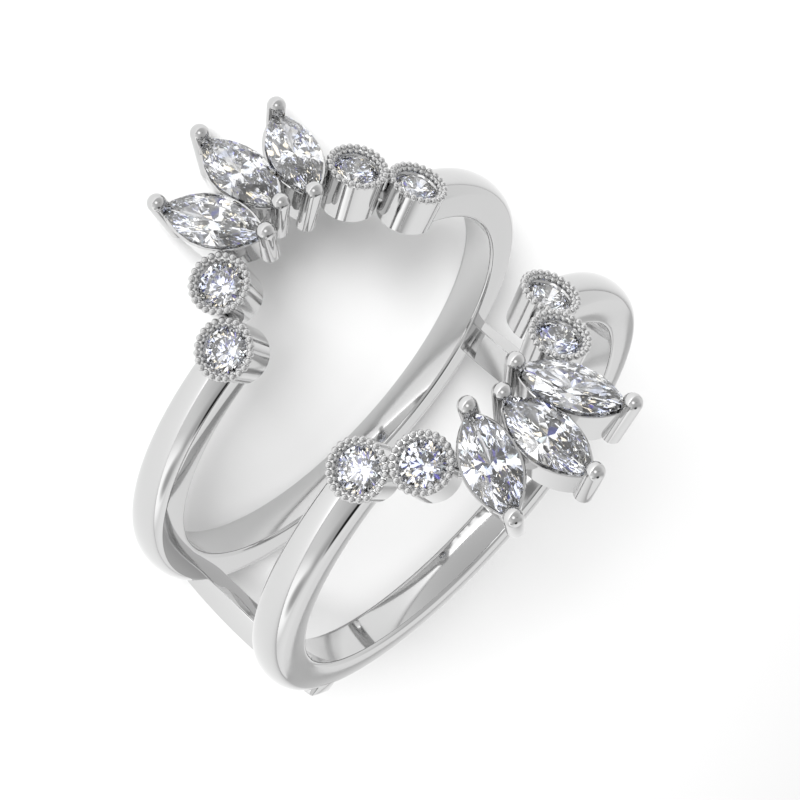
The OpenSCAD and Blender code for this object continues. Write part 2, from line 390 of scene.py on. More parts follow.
def turned(name: str, profile: Sequence[tuple[float, float]], steps: int) -> bpy.types.Object:
    """Spins a closed profile of (radius, height) once about Z.

    Args:
        name: Name of the new object.
        profile: The profile's corners, in order.
        steps: Number of steps round.

    Returns:
        A closed shell with its faces turned outwards.
    """
    obj = first_loop(name, [(r, 0.0, z) for r, z in profile])
    edit(obj)
    bpy.ops.mesh.select_all(action="SELECT")
    bpy.ops.mesh.spin(steps=steps, angle=math.tau, center=(0, 0, 0), axis=(0, 0, 1))
    bpy.ops.mesh.select_all(action="SELECT")
    bpy.ops.mesh.remove_doubles(threshold=NEAR)
    bpy.ops.mesh.normals_make_consistent(inside=False)
    done()
    return obj


def add_modifier(obj: bpy.types.Object, kind: str, **settings: object) -> None:
    """Adds a modifier to obj with its settings and applies it.

    Args:
        obj: The object.
        kind: Blender's identifier of the modifier.
        settings: Attributes of the modifier.
    """
    activate(obj)
    modifier = obj.modifiers.new(kind.title(), kind)
    for key, value in settings.items():
        setattr(modifier, key, value)
    bpy.ops.object.modifier_apply(modifier=modifier.name)


def join(parts: Iterable[bpy.types.Object], name: str) -> bpy.types.Object:
    """Joins objects into one and names it.

    Args:
        parts: The objects, of which the first takes in the others.
        name: Name of the joined object.

    Returns:
        The joined object.
    """
    parts = list(parts)
    deselect_all()
    for part in parts:
        part.select_set(True)
    bpy.context.view_layer.objects.active = parts[0]
    bpy.ops.object.join()
    parts[0].name = name
    return parts[0]


def copy_of(obj: bpy.types.Object, name: str) -> bpy.types.Object:
    """Copies obj with a mesh of its own.

    Args:
        obj: The object.
        name: Name of the copy.

    Returns:
        The copy.
    """
    twin = obj.copy()
    twin.data = obj.data.copy()
    twin.name = name
    bpy.context.collection.objects.link(twin)
    return twin


def place(obj: bpy.types.Object, matrix: Matrix) -> bpy.types.Object:
    """Puts a piece in its place and applies it, so that the object sits at the origin.

    Args:
        obj: The piece.
        matrix: Its place, turn and scale.

    Returns:
        The same piece.
    """
    activate(obj)
    obj.matrix_world = matrix
    bpy.ops.object.transform_apply(location=True, rotation=True, scale=True)
    return obj


def finish_metal(obj: bpy.types.Object, metal: bpy.types.Material, smooth: float = 32) -> None:
    """Shades a metal piece, dresses it and lets it stand for the CAD metal.

    Args:
        obj: The piece, in its place.
        metal: Its material.
        smooth: Angle in degrees under which its faces are shaded smooth.
    """
    activate(obj)
    bpy.ops.object.shade_smooth_by_angle(angle=math.radians(smooth))
    obj.data.materials.clear()
    obj.data.materials.append(metal)
    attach(obj, "root")
    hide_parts("ring_frame")
    LOG.info("%s: %d faces", obj.name, len(obj.data.polygons))


# Finishes


def linear(hex_colour: str) -> tuple[float, float, float, float]:
    """Turns an sRGB hex colour such as #e6e6e4 to linear RGBA.

    Args:
        hex_colour: A hash sign and six digits.

    Returns:
        The colour with an alpha of one.
    """
    parts = [int(hex_colour[i:i + 2], 16) / 255 for i in (1, 3, 5)]
    r, g, b = (c / 12.92 if c <= 0.04045 else ((c + 0.055) / 1.055) ** 2.4 for c in parts)
    return (r, g, b, 1.0)


def add_node(
    tree: bpy.types.NodeTree,
    kind: str,
    settings: dict[str, object] | None = None,
    inputs: dict[str, object] | None = None,
) -> bpy.types.Node:
    """Adds a node with its settings, constants and links.

    Args:
        tree: The node tree.
        kind: Blender's identifier of the node.
        settings: Attributes of the node.
        inputs: Constant or output socket for each named input.

    Returns:
        The node.
    """
    node = tree.nodes.new(kind)
    for key, value in (settings or {}).items():
        setattr(node, key, value)
    for key, value in (inputs or {}).items():
        if isinstance(value, bpy.types.NodeSocket):
            tree.links.new(value, node.inputs[key])
        else:
            node.inputs[key].default_value = value
    return node


def set_ramp(node: bpy.types.Node, stops: Sequence[tuple[float, str]]) -> None:
    """Sets the colour stops of a ramp node from places and hex colours.

    Args:
        node: The ramp node.
        stops: Place from 0 to 1 and hex colour of each stop, in order.
    """
    ramp = node.color_ramp
    while len(ramp.elements) < len(stops):
        ramp.elements.new(1.0)
    for element, (at, colour) in zip(ramp.elements, stops):
        element.position = at
        element.color = linear(colour)


@dataclass(frozen=True)
class PolishedWhiteGold:
    """14 carat white gold, rhodium plated and mirror polished.

    The plating gives a neutral white metal with sharp reflections. Polishing leaves a haze of
    hair-fine scratches that only softens the highlights a little.

    Attributes:
        colour: Reflection straight on, matched to the photograph.
        roughness: Roughness of the clean polish.
        haze_mm, haze_detail: Grain of the haze's pattern.
        haze: How much roughness the haze adds at most.
    """

    colour: str = "#c9c9c9"
    roughness: float = 0.05
    haze_mm: float = 0.35
    haze_detail: float = 3.0
    haze: float = 0.03

    def build(self) -> bpy.types.Material:
        """Makes the material.

        Returns:
            The material.
        """
        material = bpy.data.materials.new("rhodium_plated_white_gold")
        material.use_nodes = True
        tree = material.node_tree
        shader = tree.nodes["Principled BSDF"]
        shader.inputs["Base Color"].default_value = linear(self.colour)
        shader.inputs["Metallic"].default_value = 1.0
        place_node = add_node(tree, "ShaderNodeTexCoord")
        haze = add_node(
            tree, "ShaderNodeTexNoise", {"noise_dimensions": "3D"},
            {"Vector": place_node.outputs["Object"], "Scale": 1 / (self.haze_mm * MM),
             "Detail": self.haze_detail},
        )
        spread = add_node(
            tree, "ShaderNodeMapRange", {},
            {"Value": haze.outputs["Fac"], "To Min": self.roughness - self.haze / 2,
             "To Max": self.roughness + self.haze},
        )
        tree.links.new(spread.outputs["Result"], shader.inputs["Roughness"])
        return material


@dataclass(frozen=True)
class CutDiamond:
    """Colourless diamond with polished facets.

    Its high index throws light back up through the table. The faint tints by place stand for
    its fire, the blue and straw flashes of white light split at the facets.

    Attributes:
        ior: Index of diamond.
        fire_mm, fire_detail: Grain of the tints' pattern, coarse enough to show.
        body, cold, warm: The clear stone and its two tints.
        stops: Where on the pattern's scale cold ends, body begins and ends, and warm begins.
    """

    ior: float = 2.417
    fire_mm: float = 0.45
    fire_detail: float = 1.0
    body: str = "#fbfcff"
    cold: str = "#c9d4f4"
    warm: str = "#f4f0dc"
    stops: tuple[float, ...] = (0.30, 0.42, 0.60, 0.72)

    def build(self) -> bpy.types.Material:
        """Makes the material.

        Returns:
            The material.
        """
        material = bpy.data.materials.new("cut_diamond")
        material.use_nodes = True
        tree = material.node_tree
        shader = tree.nodes["Principled BSDF"]
        shader.inputs["Roughness"].default_value = 0.0
        shader.inputs["IOR"].default_value = self.ior
        shader.inputs["Transmission Weight"].default_value = 1.0
        place_node = add_node(tree, "ShaderNodeTexCoord")
        flash = add_node(
            tree, "ShaderNodeTexNoise", {},
            {"Vector": place_node.outputs["Object"], "Scale": 1 / (self.fire_mm * MM),
             "Detail": self.fire_detail},
        )
        ramp = add_node(tree, "ShaderNodeValToRGB", {}, {"Fac": flash.outputs["Fac"]})
        tints = self.cold, self.body, self.body, self.warm
        set_ramp(ramp, list(zip(self.stops, tints)))
        tree.links.new(ramp.outputs["Color"], shader.inputs["Base Color"])
        return material


@dataclass(frozen=True)
class PaleTable:
    """The matt white card that the ring lies on."""

    colour: str = "#cccccc"
    roughness: float = 0.9
    specular: float = 0.1

    def build(self) -> bpy.types.Material:
        """Makes the material.

        Returns:
            The material.
        """
        material = bpy.data.materials.new("matt_white_card")
        material.use_nodes = True
        shader = material.node_tree.nodes["Principled BSDF"]
        shader.inputs["Base Color"].default_value = linear(self.colour)
        shader.inputs["Roughness"].default_value = self.roughness
        shader.inputs["Specular IOR Level"].default_value = self.specular
        return material


# Metal pieces


@dataclass
class Shank:
    """One round-topped band, open at the crown and thicker under the finger.

    Attributes:
        sizes: Sizes of the ring.
        side: The side that this shank is on.
        steps: Steps of the spin.
        ease_points, dome_points: Steps round an inner edge and over the dome.
    """

    sizes: RingSizes
    side: Side
    steps: int = 264
    ease_points: int = 6
    dome_points: int = 36

    def _section(self) -> list[tuple[float, float]]:
        """Outline of the section as (distance from the finger axis, place along the finger).

        Returns:
            The outline's points, from one inner edge over the dome to the other.
        """
        z = self.sizes
        w, e = z.shank_w / 2, z.shank_inner_ease
        quarter = [math.radians(90 * i / self.ease_points) for i in range(self.ease_points + 1)]
        low = [(z.finger_r + e - e * math.cos(a), w - e + e * math.sin(a)) for a in quarter]
        arc = [math.radians(180 * i / self.dome_points) for i in range(self.dome_points + 1)]
        dome = [(z.shoulder_r + z.shank_dome * math.sin(a), w * math.cos(a)) for a in arc]
        back = [(r, -y) for r, y in reversed(low)]
        return low + dome + back

    def build(self) -> bpy.types.Object:
        """Spins the section round below the finger and moves its outside down.

        Returns:
            The shank in the worn frame, with the end cups' hollows cut out of its ends.
        """
        z = self.sizes
        start = math.radians(z.end_cup_angle)
        outline = [(r * math.sin(start), y, r * math.cos(start)) for r, y in self._section()]
        obj = first_loop("shank_" + self.side.name.lower(), outline)
        edit(obj)
        bpy.ops.mesh.select_all(action="SELECT")
        bpy.ops.mesh.spin(
            steps=self.steps, angle=math.tau - 2 * start, center=(0, 0, 0), axis=(0, -1, 0)
        )
        for sign in (1, -1):
            bpy.ops.mesh.select_all(action="DESELECT")
            pick(obj, lambda p, s=sign: p.z > 0 and s * p.x > 0 and abs(
                math.atan2(abs(p.x), p.z) - start) < NEAR)
            bpy.ops.mesh.edge_face_add()
        bpy.ops.mesh.select_all(action="SELECT")
        bpy.ops.mesh.normals_make_consistent(inside=False)
        done()
        reshape(obj, self._thicken)
        cup = BeadedCup(z)
        for seat in (Seat(z.end_cup_angle, z.shank_y), Seat(-z.end_cup_angle, z.shank_y)):
            cut(obj, place(cup.hollow(z.finger_r + z.end_cup_h), seat.matrix(self.side)))
        return obj

    def _thicken(self, p: Vector) -> Vector:
        """Moves a point of the outside down, away from the crown.

        Args:
            p: The point on the shank before it is moved to its side.

        Returns:
            The point in the worn frame.
        """
        z = self.sizes
        r = math.hypot(p.x, p.z)
        low = z.finger_r + z.shank_inner_ease
        share = min(1.0, max(0.0, (r - low) / (z.shoulder_r - low)))
        grown = r - share * z.shank_shift * p.z / r
        return Vector((p.x * grown / r, p.y + self.side.value * z.shank_y, p.z * grown / r))


@dataclass
class BridgeBar:
    """One square bar between the shanks, bowed outside, with bevelled edges.

    Attributes:
        angle: Angle in degrees from the crown, to either side.
        lift: Distance of the inner face outside the finger's surface.
        height, width: Size along the radius and round the ring.
        bow_r: Radius of the outer face along the finger.
        bevel, bevel_segments: Width and steps of the edges' bevel.
        corner: Angle in degrees over which two faces meet in an edge.
        cuts: Cuts across the bar, for the bow.
    """

    sizes: RingSizes
    angle: float = 127.4
    lift: float = 1.14
    height: float = 1.0
    width: float = 1.45
    bow_r: float = 25.0
    bevel: float = 0.07
    bevel_segments: int = 4
    corner: float = 60
    cuts: int = 23

    def build(self, name: str) -> bpy.types.Object:
        """Makes one bar with its middle on the crown axis, bowed along the finger.

        Args:
            name: Name of the piece.

        Returns:
            The bar, still to be turned down to its own angle.
        """
        z = self.sizes
        half = z.shank_y + z.shank_w / 2
        inner = z.finger_r + self.lift
        deselect_all()
        bpy.ops.mesh.primitive_cube_add(size=1)
        obj = bpy.context.object
        obj.name = name
        obj.scale = (self.width, 2 * half, self.height)
        obj.location = (0, 0, inner + self.height / 2)
        bpy.ops.object.transform_apply(location=True, rotation=True, scale=True)
        edit(obj, "EDGE")
        mesh = bmesh.from_edit_mesh(obj.data)
        for e in mesh.edges:
            a, b = e.verts
            e.select_set(abs(a.co.y - b.co.y) > half)
        bmesh.update_edit_mesh(obj.data)
        bpy.ops.mesh.subdivide(number_cuts=self.cuts)
        done()
        reshape(obj, lambda p: self._bow(p, inner))
        add_modifier(obj, "BEVEL", width=self.bevel, segments=self.bevel_segments,
                     limit_method="ANGLE", angle_limit=math.radians(self.corner))
        return obj

    def _bow(self, p: Vector, inner: float) -> Vector:
        """Lowers the outer face towards the bar's ends.

        Args:
            p: A point of the straight bar.
            inner: Distance of the bar's inner face from the finger axis.

        Returns:
            The point of the bowed bar.
        """
        if p.z < inner + self.height / 2:
            return p
        sag = self.bow_r - math.sqrt(self.bow_r ** 2 - p.y ** 2)
        return Vector((p.x, p.y, p.z - sag))


@dataclass
class BeadedCup:
    """A round bezel cup with a beaded rim, open below the stone.

    The CAD has the outer row of beads. The photograph also shows a row of smaller grains
    inside it and metal pushed over the stone's girdle, which are made here as a thin lip.
    Heights of the lip are above the girdle.

    Attributes:
        stone_d: Diameter of the stone.
        rim_r, base_r: Outer radius at the rim and at the foot.
        bead_count: Beads round the rim, and grains inside them.
        bead_r, bead_ring_r: Radius of a bead and of the circle of beads.
        bead_segments, bead_rings: Steps round and down a bead.
        sink: Depth of the stone's girdle below the rim.
        grain_r, grain_ring_r: Radius of a grain and of the circle of grains.
        grain_drop: Depth of the grains' middles below the rim.
        lip: How far the lip stands in.
        lip_low, lip_mid, lip_top: Heights of its lower end, edge and upper end.
        foot_gap: Distance of the foot outside the finger's surface.
        settle_h: Depth below the rim where the cup starts to follow the finger.
        hollow_past: How far the hollow that is cut from a shank reaches past the cup.
        steps: Steps round the cup.
    """

    sizes: RingSizes
    stone_d: float = 1.75
    rim_r: float = 1.15
    base_r: float = 1.08
    bead_count: int = 24
    bead_r: float = 0.135
    bead_ring_r: float = 1.06
    sink: float = 0.33
    grain_r: float = 0.115
    grain_ring_r: float = 0.935
    grain_drop: float = 0.11
    bead_segments: int = 14
    bead_rings: int = 8
    lip: float = 0.055
    lip_low: float = 0.03
    lip_mid: float = 0.08
    lip_top: float = 0.16
    foot_gap: float = 0.02
    settle_h: float = 0.7
    hollow_past: float = 0.5
    steps: int = 96

    def _bore(self, rim: float) -> tuple[float, float, float]:
        """Seat radius, through hole radius and height of the seat's outer edge.

        Args:
            rim: Distance of the rim from the finger axis.

        Returns:
            The two radii and the height, in that order.
        """
        z = self.sizes
        seat_r = self.stone_d / 2 + z.seat_gap
        return seat_r, seat_r - z.seat_depth * z.seat_slope, rim - self.sink - z.seat_gap

    def hollow(self, rim: float) -> bpy.types.Object:
        """Makes the space inside a cup, to cut it out of a shank's end.

        Args:
            rim: Distance of the rim from the finger axis.

        Returns:
            A closed solid in the seat's own frame.
        """
        seat_r, hole_r, girdle = self._bore(rim)
        levels = [
            (self.sizes.finger_r - self.hollow_past, hole_r),
            (girdle - self.sizes.seat_depth, hole_r),
            (girdle, seat_r),
            (rim + self.hollow_past, seat_r),
        ]
        turns = [math.tau * i / self.steps for i in range(self.steps)]
        return capped("cup_hollow", [
            [(r * math.cos(a), r * math.sin(a), h) for a in turns] for h, r in levels
        ])

    def _profile(self, rim: float) -> list[tuple[float, float]]:
        """Closed profile of the cup, from the foot's outer edge up and back down inside.

        Args:
            rim: Distance of the rim from the finger axis.

        Returns:
            Radius and height of each corner.
        """
        foot = self.sizes.finger_r + self.foot_gap
        seat_r, hole_r, girdle = self._bore(rim)
        b = self.sizes.edge
        return [
            (self.base_r - b, foot), (self.base_r, foot + b),
            (self.rim_r, rim - b), (self.rim_r - b, rim),
            (seat_r + b, rim), (seat_r, rim - b),
            (seat_r, girdle + self.lip_top), (seat_r - self.lip, girdle + self.lip_mid),
            (seat_r, girdle + self.lip_low), (seat_r, girdle),
            (hole_r, girdle - self.sizes.seat_depth),
            (hole_r, foot + b), (hole_r + b, foot),
        ]

    def _settle(self, p: Vector, rim: float) -> Vector:
        """Lets the foot follow the finger hole across the cup.

        Args:
            p: A point of the cup.
            rim: Distance of the rim from the finger axis.

        Returns:
            The point, lower the nearer it is to the foot and to the cup's sides.
        """
        foot = self.sizes.finger_r + self.foot_gap
        level = rim - self.settle_h
        share = min(1.0, max(0.0, (level - p.z) / (level - foot)))
        drop = foot - math.sqrt(foot ** 2 - p.x ** 2)
        return Vector((p.x, p.y, p.z - share * drop))

    def _bead(self, name: str) -> bpy.types.Object:
        """Makes one bead, a small ball.

        Args:
            name: Name of the bead.

        Returns:
            The bead at the origin.
        """
        deselect_all()
        bpy.ops.mesh.primitive_uv_sphere_add(
            segments=self.bead_segments, ring_count=self.bead_rings, radius=self.bead_r
        )
        obj = bpy.context.object
        obj.name = name
        return obj

    def build(self, name: str, rim: float) -> bpy.types.Object:
        """Turns the cup and sets the beads round its rim.

        Args:
            name: Name of the piece.
            rim: Distance of the rim from the finger axis.

        Returns:
            The cup in its seat's own frame.
        """
        cup = turned(name, self._profile(rim), self.steps)
        reshape(cup, lambda p: self._settle(p, rim))
        bead = self._bead(name + "_bead")
        beads = []
        for i in range(self.bead_count):
            turn = Matrix.Rotation(math.tau * i / self.bead_count, 4, "Z")
            twin = copy_of(bead, f"{name}_bead_{i}")
            beads.append(place(twin, turn @ Matrix.Translation((self.bead_ring_r, 0, rim))))
            grain = copy_of(bead, f"{name}_grain_{i}")
            spot = Matrix.Translation((self.grain_ring_r, 0, rim - self.grain_drop))
            small = Matrix.Scale(self.grain_r / self.bead_r, 4)
            beads.append(place(grain, turn @ spot @ small))
        bpy.data.objects.remove(bead)
        return join([cup, *beads], name)


@dataclass
class MarquiseBasket:
    """A tapered boat-shaped basket, open below, with two round-wire claws at its points.

    The wire is as thick as the photograph shows it, a little more than the CAD's claws.

    Attributes:
        stone_l, stone_w: Length and width of the stone.
        girdle_h, rim_h: Heights of its girdle and of the rim above the finger's surface.
        margin: How far the rim's outside lies beyond the stone's outline.
        taper: How much narrower each side is at the foot.
        draft: How much narrower each side of the hole is at the foot than at the seat.
        notch_h: Height of the notch for the stone's tip, above the seat's edge.
        arc_points: Steps along each side of the outline.
        wire_d: Diameter of the claws.
        claw_segments: Steps round a claw.
    """

    sizes: RingSizes
    stone_l: float = 4.0
    stone_w: float = 2.0
    girdle_h: float = 2.0
    rim_h: float = 1.86
    margin: float = 0.1
    taper: float = 0.25
    draft: float = 0.1
    notch_h: float = 0.14
    arc_points: int = 28
    wire_d: float = 0.73
    claw_segments: int = 40

    def _boat(self, half_w: float, z: float) -> list[Point]:
        """Marquise outline of a given half width at height z, from point to point and back.

        Args:
            half_w: Half of the outline's width.
            z: Its height.

        Returns:
            The outline's points, at the same distance all round from the stone's own outline.
        """
        l, w = self.stone_l / 2, self.stone_w / 2
        e = (l * l - w * w) / (2 * w)
        r = half_w + e
        tip = math.acos(e / r)
        n = self.arc_points
        arc = [(r * math.cos(a) - e, r * math.sin(a), z)
               for a in (tip * (2 * i / n - 1) for i in range(n))]
        return arc + [(-x, -y, z) for x, y, z in arc]

    def _wall(self, name: str) -> bpy.types.Object:
        """Lofts the basket's wall up outside, over the rim and down through its seat.

        Args:
            name: Name of the piece.

        Returns:
            The wall in the seat's own frame.
        """
        z = self.sizes
        foot = z.finger_r
        rim = foot + self.rim_h
        w = self.stone_w / 2 + self.margin
        b = z.edge
        seat_w = self.stone_w / 2 + z.seat_gap
        girdle = foot + self.girdle_h - z.seat_gap
        rim_in = seat_w - (girdle - rim) * z.seat_slope
        floor = girdle - z.seat_depth
        floor_w = seat_w - z.seat_depth * z.seat_slope
        return loft(name, [
            self._boat(w - self.taper - b, foot), self._boat(w - self.taper, foot + b),
            self._boat(w, rim - b), self._boat(w - b, rim),
            self._boat(rim_in, rim), self._boat(floor_w, floor),
            self._boat(floor_w - self.draft, foot),
        ])

    def _claw(self, name: str) -> bpy.types.Object:
        """Makes a claw: a ball end, its equator extruded down as a wire, and an eased foot.

        Args:
            name: Name of the claw.

        Returns:
            The claw at one point of the stone, in the seat's own frame.
        """
        z = self.sizes
        r = self.wire_d / 2
        rise = z.claw_ball_h - z.claw_foot_h
        ball = z.finger_r + z.claw_ball_h
        b = z.claw_foot_bevel
        deselect_all()
        bpy.ops.mesh.primitive_uv_sphere_add(
            segments=self.claw_segments, ring_count=self.claw_segments // 2, radius=r
        )
        obj = bpy.context.object
        obj.name = name
        edit(obj)
        pick(obj, lambda p: p.z < -NEAR)
        bpy.ops.mesh.delete(type="VERT")
        pick(obj, lambda p: abs(p.z) < NEAR)
        bpy.ops.mesh.extrude_region_move(TRANSFORM_OT_translate={"value": (0, 0, b - rise)})
        bpy.ops.mesh.extrude_region_move(TRANSFORM_OT_translate={"value": (0, 0, -b)})
        bpy.ops.transform.resize(value=(1 - b / r, 1 - b / r, 1))
        bpy.ops.mesh.edge_face_add()
        bpy.ops.mesh.select_all(action="SELECT")
        bpy.ops.mesh.normals_make_consistent(inside=False)
        done()
        slope = z.claw_lean / rise
        reshape(obj, lambda p: Vector(
            (p.x, z.claw_reach + p.y + min(p.z, 0) * slope, ball + p.z)))
        self._notch(obj)
        return obj

    def _notch(self, claw: bpy.types.Object) -> None:
        """Cuts the stone's tip and the basket's seat out of a claw.

        Args:
            claw: The claw in the seat's own frame.
        """
        z = self.sizes
        w = self.stone_w / 2 + z.seat_gap
        low = z.finger_r + self.girdle_h - z.seat_gap
        cut(claw, capped("stone_tip", [
            self._boat(w - z.seat_depth * z.seat_slope, low - z.seat_depth),
            self._boat(w, low), self._boat(w, low + self.notch_h),
        ]))

    def build(self, name: str) -> bpy.types.Object:
        """Makes the basket with its claws in the seat's own frame.

        Args:
            name: Name of the piece.

        Returns:
            The basket.
        """
        wall = self._wall(name)
        claw = self._claw(name + "_claw")
        other = copy_of(claw, name + "_claw_inner")
        place(other, Matrix.Rotation(math.pi, 4, "Z"))
        return join([wall, claw, other], name)


@dataclass
class SolderJoint:
    """A short round joint with a drawn-in waist between two neighbouring settings.

    Attributes:
        radius: Radius at both ends.
        waist: Radius at the middle as a share of that.
        inset: Distance of each end from its setting's axis.
        sides, cuts: Steps round the joint and cuts across it.
    """

    radius: float = 0.32
    waist: float = 0.9
    inset: float = 0.78
    sides: int = 32
    cuts: int = 7

    def build(self, name: str, a: Vector, b: Vector) -> bpy.types.Object:
        """Makes a joint on the line from point a to point b of the worn frame.

        Args:
            name: Name of the piece.
            a: Middle of the first setting, at the joint's height.
            b: Middle of the second.

        Returns:
            The joint in the worn frame, drawn in from both points.
        """
        trim = (b - a).normalized() * self.inset
        a, b = a + trim, b - trim
        run = b - a
        deselect_all()
        bpy.ops.mesh.primitive_cylinder_add(
            vertices=self.sides, radius=self.radius, depth=run.length
        )
        obj = bpy.context.object
        obj.name = name
        edit(obj, "EDGE")
        mesh = bmesh.from_edit_mesh(obj.data)
        for e in mesh.edges:
            e.select_set(abs(e.verts[0].co.z - e.verts[1].co.z) > run.length / 2)
        bmesh.update_edit_mesh(obj.data)
        bpy.ops.mesh.subdivide(number_cuts=self.cuts)
        done()

        def pinch(p: Vector) -> Vector:
            """Draws the middle of the joint in."""
            k = 1 - (1 - self.waist) * math.cos(math.pi * p.z / run.length) ** 2
            return Vector((p.x * k, p.y * k, p.z))

        reshape(obj, pinch)
        turn = run.to_track_quat("Z", "Y").to_matrix().to_4x4()
        return place(obj, Matrix.Translation((a + b) / 2) @ turn)


@dataclass
class Cluster:
    """The settings of one side: four cups and three baskets, joined to each other.

    Attributes:
        sizes: Sizes of the ring.
        side: The side that these settings are on.
        second_cup_h: Height of the second cup's rim above the finger's surface.
        second_angle, second_y: Its angle from the crown and place along the finger.
        side_angle, side_y, side_turn: The same of a side marquise, and its turn.
        joint_h: Height of the joints above the finger's surface.
    """

    sizes: RingSizes
    side: Side
    second_cup_h: float = 1.84
    second_angle: float = 19.45
    second_y: float = 5.05
    side_angle: float = 11.1
    side_y: float = 6.88
    side_turn: float = 25.5
    joint_h: float = 0.75

    def cups(self) -> list[Seat]:
        """Seats of the cups, left to right.

        Returns:
            Four seats with their rims' distances from the finger axis.
        """
        z = self.sizes
        end = z.finger_r + z.end_cup_h
        second = z.finger_r + self.second_cup_h
        half = [Seat(z.end_cup_angle, z.shank_y, rim=end),
                Seat(self.second_angle, self.second_y, rim=second)]
        left = [Seat(-s.angle, s.axial, rim=s.rim) for s in half]
        return [*left, half[1], half[0]]

    def baskets(self) -> list[Seat]:
        """Seats of the baskets, left to right.

        Returns:
            Three seats.
        """
        return [Seat(-self.side_angle, self.side_y, -self.side_turn),
                Seat(0.0, self.sizes.middle_marquise_y),
                Seat(self.side_angle, self.side_y, self.side_turn)]

    def build(self, lay: Matrix, metal: bpy.types.Material) -> None:
        """Builds and dresses every setting of this side.

        Args:
            lay: Matrix from the worn frame to the row frame.
            metal: The metal's material.
        """
        tag = self.side.name.lower()
        cup, basket, joint = BeadedCup(self.sizes), MarquiseBasket(self.sizes), SolderJoint()
        for i, seat in enumerate(self.cups(), 1):
            piece = cup.build(f"beaded_cup_{tag}_{i}", seat.rim)
            finish_metal(place(piece, lay @ seat.matrix(self.side)), metal)
        for i, seat in enumerate(self.baskets(), 1):
            piece = basket.build(f"marquise_basket_{tag}_{i}")
            finish_metal(place(piece, lay @ seat.matrix(self.side)), metal)
        chain = [*self.cups()[:2], *self.baskets(), *self.cups()[2:]]
        r = self.sizes.finger_r + self.joint_h
        for i, (a, b) in enumerate(zip(chain, chain[1:]), 1):
            ends = a.point(self.side, r), b.point(self.side, r)
            piece = joint.build(f"solder_joint_{tag}_{i}", *ends)
            finish_metal(place(piece, lay), metal)


# Stones


@dataclass
class Stones:
    """The cut stones, which stay CAD nodes."""

    finish: CutDiamond = field(default_factory=CutDiamond)

    def dress(self, nodes: dict[str, bpy.types.Object]) -> None:
        """Gives every stone node the diamond material.

        Args:
            nodes: The CAD nodes by name.
        """
        diamond = self.finish.build()
        for name, obj in nodes.items():
            if name.startswith(("marquise_", "round_")):
                for s in obj.material_slots:
                    s.material = diamond
                LOG.info("%s dressed", name)


# Studio


def direction(azimuth: float, elevation: float) -> Vector:
    """Unit vector towards an azimuth (from +X towards +Y) and elevation in degrees."""
    a, e = math.radians(azimuth), math.radians(elevation)
    return Vector((math.cos(e) * math.cos(a), math.cos(e) * math.sin(a), math.sin(e)))


@dataclass(frozen=True)
class Patch:
    """A round soft-edged area of the light tent, brighter or darker than the rest of it.

    Small strong patches sparkle in the stones and would show as spots in the broad polished
    faces, so those are lit for the stones alone.

    Attributes:
        azimuth, elevation: Where its middle is, in degrees in the row frame.
        radius, edge: Radius and half the width of its soft border, in degrees.
        level: Brightness.
        tint: Colour.
        stones_only: Whether only rays that leave a stone see it.
    """

    azimuth: float
    elevation: float
    radius: float
    edge: float
    level: float
    tint: str = "#ffffff"
    stones_only: bool = False

    def colour(self) -> tuple[float, float, float, float]:
        """The patch's linear colour at its level."""
        r, g, b, _ = linear(self.tint)
        return (r * self.level, g * self.level, b * self.level, 1.0)


# Columns: azimuth, elevation, radius, edge, level, tint, stones_only. Later ones lie on top.
TENT_PATCHES = (
    Patch(-95, 50, 48, 30, 0.62),
    Patch(45, 58, 34, 16, 0.55),
    Patch(115, 56, 26, 14, 0.60),
    Patch(75, 34, 28, 18, 1.20),
    Patch(22, 4, 18, 14, 1.65),
    Patch(25, 20, 8, 8, 0.55),
    Patch(43, 61, 12, 5, 0.02),
    Patch(-67, 34, 13, 6, 1.8),
    Patch(-45, 2, 5, 3, 0.30),
    Patch(-113, 59, 5, 3, 0.30),
    Patch(100, 40, 75, 20, 0.20, stones_only=True),
    Patch(-80, 34, 60, 20, 0.10, stones_only=True),
    Patch(-118, 30, 12, 3, 1.8, stones_only=True),
    Patch(-92, 44, 13, 3, 0.02, stones_only=True),
    Patch(-62, 26, 11, 3, 1.9, "#dfe4ff", stones_only=True),
    Patch(-88, 18, 10, 3, 0.03, stones_only=True),
    Patch(-104, 8, 10, 3, 1.7, "#eefaff", stones_only=True),
    Patch(-74, 6, 10, 3, 0.60, "#3c48b4", stones_only=True),
    Patch(-130, 12, 9, 3, 0.04, stones_only=True),
    Patch(-50, 50, 11, 3, 0.04, stones_only=True),
    Patch(-62, 42, 6, 2, 0.90, "#6a5ad8", stones_only=True),
    Patch(-80, 62, 11, 3, 1.8, "#fff2d8", stones_only=True),
    Patch(-120, 58, 9, 3, 0.05, stones_only=True),
    Patch(-45, 12, 10, 3, 1.7, stones_only=True),
)


